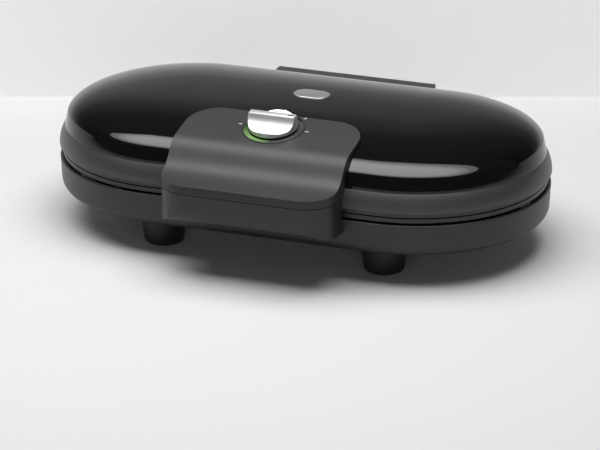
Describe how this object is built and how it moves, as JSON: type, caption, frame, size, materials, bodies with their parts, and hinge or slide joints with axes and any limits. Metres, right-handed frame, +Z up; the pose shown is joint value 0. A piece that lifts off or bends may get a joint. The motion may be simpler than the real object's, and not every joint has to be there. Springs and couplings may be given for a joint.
{
  "type": "donut maker",
  "caption": "Low stadium-shaped donut maker: glossy domed lid with a front grip, metal control knob and rear hinge over ring moulds, on four tapered feet.",
  "frame": {"origin": "on the floor, under the middle of the whole footprint", "axes": "+X to the right along the longest extent, +Y from the grip towards the hinge, +Z up"},
  "size_m": [0.38, 0.272, 0.1119],
  "materials": {
    "dark_plastic": "matte, finely grained",
    "rim_plastic": "satin",
    "gloss_black": "high gloss",
    "matte_panel": "satin, finely grained",
    "black_plastic": "matte",
    "foot_plastic": "matte",
    "badge_metal": "satin",
    "satin_metal": "brushed satin",
    "white_print": "printed",
    "steel": "zinc plated",
    "sheet_steel": "bright sheet",
    "nonstick": "non-stick coating",
    "green_lens": "glowing, translucent",
    "clear_lens": "translucent",
    "lamp_glass": "clear",
    "board": "circuit board",
    "sleeve": "glass-fibre sleeve",
    "wire_sheath": "glass-fibre sheath",
    "terminal": "ceramic-filled",
    "foot_rubber": "matte"
  },
  "bodies": {
    "base": {"lower_housing": "dark_plastic", "rear_cover": "dark_plastic", "foot_front_left": "foot_plastic", "foot_rear_left": "foot_plastic", "foot_front_right": "foot_plastic", "foot_rear_right": "foot_plastic", "foot_pads": "foot_rubber", "foot_screws": "steel", "lower_mould_plate": "nonstick", "lower_heater": "steel", "lower_reflector": "sheet_steel", "lower_plate_screws": "steel", "hinge_pin": "steel", "hinge_wire_tube": "steel", "cord_gland": "foot_rubber", "terminal_block": "terminal", "terminal_screws": "steel", "base_wires": "wire_sheath"},
    "lid": {"badge": "badge_metal", "dial_bezel": "black_plastic", "dial_marks": "white_print", "handle_base": "dark_plastic", "handle_panel": "matte_panel", "handle_screws": "steel", "heat_lamp": "lamp_glass", "heat_light_lens": "clear_lens", "hinge_cover": "dark_plastic", "hinge_housing": "dark_plastic", "hinge_screws": "steel", "lamp_board": "board", "lid_cover": "gloss_black", "lid_rim": "rim_plastic", "lid_wires": "wire_sheath", "power_lamp": "lamp_glass", "power_light_lens": "green_lens", "thermal_fuse": "sleeve", "thermostat": "steel", "thermostat_bracket": "steel", "thermostat_screws": "steel", "upper_heater": "steel", "upper_mould_plate": "nonstick", "upper_plate_screws": "steel", "upper_reflector": "sheet_steel"},
    "knob": {"knob_cap": "satin_metal", "knob_core": "black_plastic", "knob_spindle": "steel", "knob_pointer": "black_plastic"}
  },
  "joints": [
    {"name": "lid_hinge", "type": "hinge", "parent": "base", "child": "lid", "pos_m": [0, 0.112, 0.068], "axis": [-1, 0, 0], "range_deg": [0, 95]},
    {"name": "knob_turn", "type": "hinge", "parent": "lid", "child": "knob", "pos_m": [0, -0.0636, 0.0996], "axis": [0, -0.1874, 0.9823], "range_deg": [0, 180]}
  ]
}
